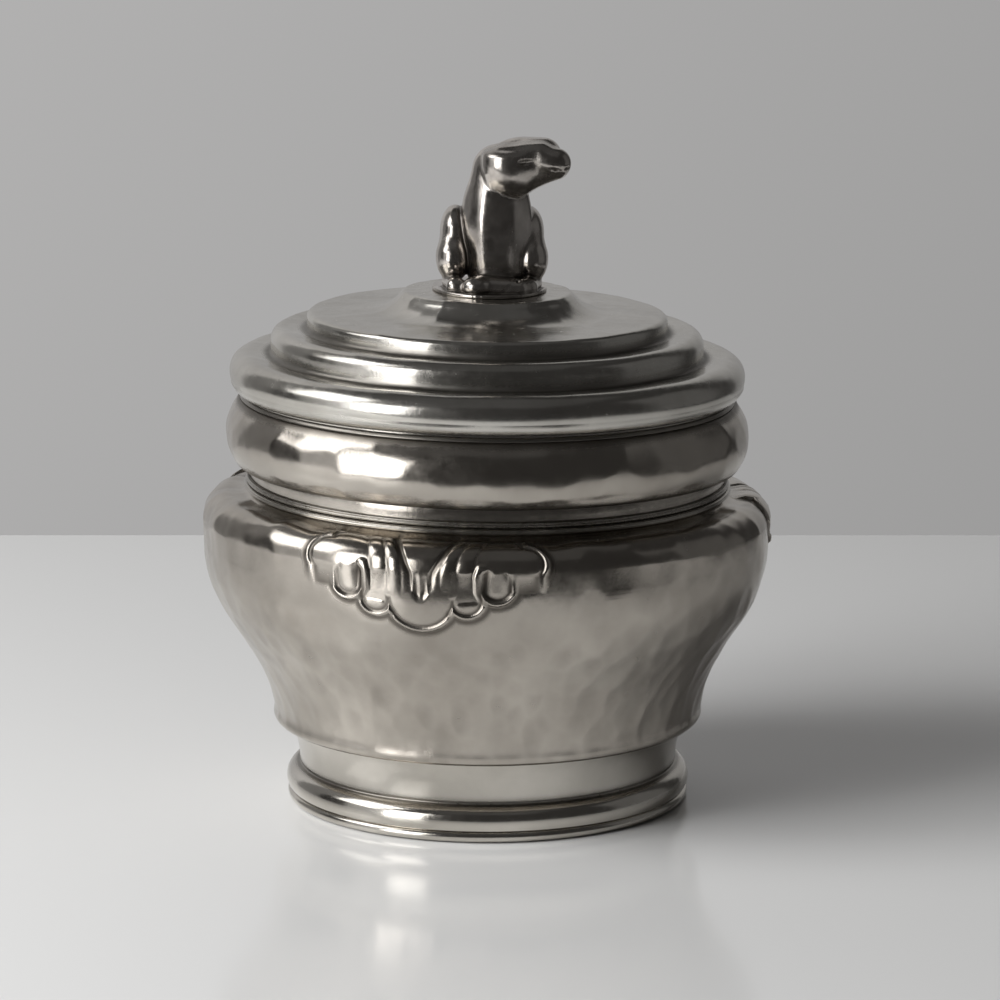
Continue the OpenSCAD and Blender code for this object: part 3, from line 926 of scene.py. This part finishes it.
def crossings(field):
    """For each cell of a grid, the mean place in it where the field changes sign along its edges, and
    how many of its edges do so."""
    cells = tuple(n - 1 for n in field.shape)
    total = np.zeros(cells + (3,))
    count = np.zeros(cells)
    for a in ((i, j, k) for i in (0, 1) for j in (0, 1) for k in (0, 1)):
        for axis in range(3):
            if a[axis]:
                continue
            b = tuple(1 if n == axis else v for n, v in enumerate(a))
            from_a = field[tuple(slice(v, v + n) for v, n in zip(a, cells))]
            from_b = field[tuple(slice(v, v + n) for v, n in zip(b, cells))]
            cross = (from_a < 0) != (from_b < 0)
            t = np.where(cross, from_a / np.where(cross, from_a - from_b, 1), 0)
            for n in range(3):
                total[..., n] += cross * (a[n] + (t if n == axis else 0))
            count += cross
    return total, count


def surface_of(distance, low, high, cell):
    """Surface nets: a closed mesh where the distance field changes sign, as vertex rows and quads."""
    axes = [np.arange(a, b + cell, cell) for a, b in zip(low, high)]
    field = distance(np.stack(np.meshgrid(*axes, indexing="ij"), axis=-1))
    total, count = crossings(field)
    used = count > 0
    number = np.full(used.shape, -1)
    number[used] = np.arange(used.sum())
    points = np.array(low) + cell * (np.argwhere(used) + total[used] / count[used][:, None])

    # Each grid edge that the surface crosses gives a quad between the four cells round it
    inside = field < 0
    quads = []
    for axis in range(3):
        other = [n for n in range(3) if n != axis]
        first = [slice(1, -1)] * 3
        first[axis] = slice(0, field.shape[axis] - 1)
        second = list(first)
        second[axis] = slice(1, field.shape[axis])
        a, b = inside[tuple(first)], inside[tuple(second)]
        around_edge = np.argwhere(a != b)
        for n in other:
            around_edge[:, n] += 1
        ring = []
        for du, dv in ((0, 0), (1, 0), (1, 1), (0, 1)):
            c = around_edge.copy()
            c[:, other[0]] -= du
            c[:, other[1]] -= dv
            ring.append(number[c[:, 0], c[:, 1], c[:, 2]])
        ring = np.column_stack(ring)
        forward = a[a != b] != (axis == 1)
        ring[~forward] = ring[~forward][:, ::-1]
        quads.append(ring)
    return points, np.vstack(quads)


def slope_of(distance, points, step=0.02):
    """Slope of a distance field at each point."""
    return np.stack([
        (distance(points + step * way) - distance(points - step * way)) / (2 * step)
        for way in np.eye(3)], axis=-1)


def make_finial():
    """The animal as a mesh that is drawn onto its field, dark where the field closes in on it."""
    low, high = (-12.0, -13.4, -0.4), (16.6, 13.4, 28.8)
    points, quads = surface_of(animal, low, high, 0.24)
    for _ in range(3):
        slope = slope_of(animal, points)
        steepness = np.maximum((slope**2).sum(axis=-1, keepdims=True), 0.2)
        points = points - 0.8 * animal(points)[:, None] * slope / steepness
    points[:, 2] = np.maximum(points[:, 2], 0.0)

    reach_in = 0.6
    ahead = animal(points + reach_in * slope / np.sqrt(steepness))
    hollow = np.clip((reach_in - ahead) / reach_in * 1.6, 0, 1)
    points = points + [0, 0, boss_z]
    points[:, 2] = np.minimum(points[:, 2], finial_top_z - 3 * SKIN)
    made = mesh_from_arrays("finial_cast", points, [quads], hollow)
    place(made, "lid", "cast_silver", cast_silver, "finial")


make_foot()
make_bowl()
make_neck_wires()
make_band()
make_mouth_wire()
make_lid()
make_flange()
make_finial()

for name in ("finial_stud", "finial_washer", "finial_nut"):
    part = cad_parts[name]
    part.data.materials.clear()
    part.data.materials.append(fastener_silver)


# ---- the studio, in metres

BACKDROP_GLOW = 0.40
BACKDROP_TINT = (1.0, 0.99, 0.985)
AIM = Vector((0, 0, 0.06))  # the lights face the middle of the bowl
WORLD_TINT = (1, 0.97, 0.95)
WORLD_GLOW = 0.04

CAMERA_PLACE = (0.0023, -0.861, 0.230)
CAMERA_DOWN = 11.505  # degrees below level
CAMERA_LENS = 172.9
CAMERA_SENSOR = 36


def stage(name, mesh):
    """An object of the studio, which isn't part of the bowl."""
    made = bpy.data.objects.new(name, mesh)
    bpy.context.scene.collection.objects.link(made)
    return made


def softbox(name, azimuth, elevation, distance, wide, high, power, seen=True):
    """A rectangular light at an azimuth from the front to the left, in degrees, and an elevation.
    Where it isn't seen, it lights matt surfaces but gives no reflection."""
    light = bpy.data.lights.new(name, "AREA")
    light.shape = "RECTANGLE"
    light.size = wide
    light.size_y = high
    light.energy = power
    made = bpy.data.objects.new(name, light)
    a, e = math.radians(azimuth), math.radians(elevation)
    towards = Vector((-math.sin(a) * math.cos(e), -math.cos(a) * math.cos(e), math.sin(e)))
    made.location = AIM + distance * towards
    made.rotation_mode = "QUATERNION"
    made.rotation_quaternion = (AIM - made.location).to_track_quat("-Z", "Y")
    made.visible_camera = False
    made.visible_glossy = seen
    bpy.context.scene.collection.objects.link(made)


def make_table():
    """A pale, glossy table top."""
    material, tree, shader = new_material("table_top")
    feed(tree, shader, {"Base Color": (0.80, 0.80, 0.795, 1), "Roughness": 0.12, "IOR": 1.45})
    mesh = bpy.data.meshes.new("table")
    left, right, front, back, level = -0.55, 0.27, -0.205, 0.229, -0.0002
    corners = [(left, front, level), (right, front, level), (right, back, level), (left, back, level)]
    mesh.from_pydata(corners, [], [(0, 1, 2, 3)])
    mesh.materials.append(material)
    stage("table", mesh)


def reflected_wall(name, corners, strength):
    """A flat glowing surface that shows only in reflections."""
    mesh = bpy.data.meshes.new(name)
    mesh.from_pydata(corners, [], [(0, 1, 2, 3)])
    mesh.materials.append(card(name, strength, BACKDROP_TINT)[0])
    made = stage(name, mesh)
    made.visible_camera = False
    made.visible_diffuse = False


def side_wall(name, x, near, far, low, high, strength):
    reflected_wall(name, [(x, near, low), (x, far, low), (x, far, high), (x, near, high)], strength)


def make_backdrop():
    """A tall backdrop behind the table, a little darker to the right and below."""
    left, right, y, low, high_left, high_right = -1.25, 1.05, 1.3, -1.2, 2.3, 0.75
    glow_across, glow_up = -0.17, 0.10  # change for each metre
    mesh = bpy.data.meshes.new("backdrop")
    corners = [(left, y, low), (right, y, low), (right, y, high_right), (left, y, high_left)]
    mesh.from_pydata(corners, [], [(0, 1, 2, 3)])
    material, glow = card("backdrop", 1.0, BACKDROP_TINT)
    tree = material.node_tree
    where = node(tree, "ShaderNodeTexCoord", -900, 0, {})
    parts = node(tree, "ShaderNodeSeparateXYZ", -700, 0, {"Vector": where.outputs["Object"]})
    across = node(tree, "ShaderNodeMath", -500, 100, {
        0: parts.outputs["X"], 1: glow_across, 2: BACKDROP_GLOW}, operation="MULTIPLY_ADD")
    up = node(tree, "ShaderNodeMath", -300, 100, {
        0: parts.outputs["Z"], 1: glow_up, 2: across.outputs[0]}, operation="MULTIPLY_ADD")
    feed(tree, glow, {"Strength": up.outputs[0]})
    mesh.materials.append(material)
    stage("backdrop", mesh)


def make_surround():
    """A pale cylinder that only the camera sees, so that every view has the same plain background."""
    sides, radius, low, high = 64, 3.0, -2.0, 3.0
    ring = [(radius * math.cos(a), radius * math.sin(a)) for a in even_turn(sides)]
    points = [(*p, low) for p in ring] + [(*p, high) for p in ring]
    faces = [(i, (i + 1) % sides, sides + (i + 1) % sides, sides + i) for i in range(sides)]
    faces.append(tuple(range(sides)))
    mesh = bpy.data.meshes.new("surround")
    mesh.from_pydata(points, [], faces)
    mesh.materials.append(card("surround", BACKDROP_GLOW, BACKDROP_TINT)[0])
    made = stage("surround", mesh)
    for way in ("visible_diffuse", "visible_glossy", "visible_transmission", "visible_shadow"):
        setattr(made, way, False)


def make_studio():
    """Table, backdrop, walls and lights: two soft keys at the left, one wide weak light between them,
    and one that only lights the table."""
    make_table()
    make_surround()
    make_backdrop()
    side_wall("left_wall", x=-1.3, near=0.45, far=1.3, low=-1.5, high=2.4, strength=0.22)
    side_wall("right_wall", x=1.2, near=-0.3, far=0.75, low=-0.2, high=1.2, strength=0.12)
    half, near, far, level = 0.9, -1.5, 0.6, 1.7
    reflected_wall("ceiling", [(-half, near, level), (half, near, level), (half, far, level),
                               (-half, far, level)], 0.08)
    world = bpy.data.worlds.new("studio")
    world.use_nodes = True
    background = world.node_tree.nodes["Background"]
    feed(world.node_tree, background, {"Color": (*WORLD_TINT, 1), "Strength": WORLD_GLOW})
    bpy.context.scene.world = world
    softbox("key_near", 48, 12, 0.85, wide=0.34, high=0.64, power=3.0)
    softbox("key_far", 83, 36, 0.85, wide=0.42, high=0.46, power=2.1)
    softbox("key_between", 68, 8, 0.95, wide=0.62, high=0.50, power=0.45)
    softbox("table_light", 66, 30, 0.85, wide=0.60, high=0.60, power=7.0, seen=False)


def make_camera():
    """The camera, above the table's level and looking down at the bowl."""
    data = bpy.data.cameras.new("camera")
    data.sensor_width = CAMERA_SENSOR
    data.lens = CAMERA_LENS
    data.clip_start = 0.05
    data.clip_end = 20
    made = bpy.data.objects.new("camera", data)
    made.location = CAMERA_PLACE
    made.rotation_euler = (math.radians(90 - CAMERA_DOWN), 0, 0)
    bpy.context.scene.collection.objects.link(made)
    bpy.context.scene.camera = made


make_studio()
make_camera()
bpy.context.scene.view_settings.view_transform = "Standard"
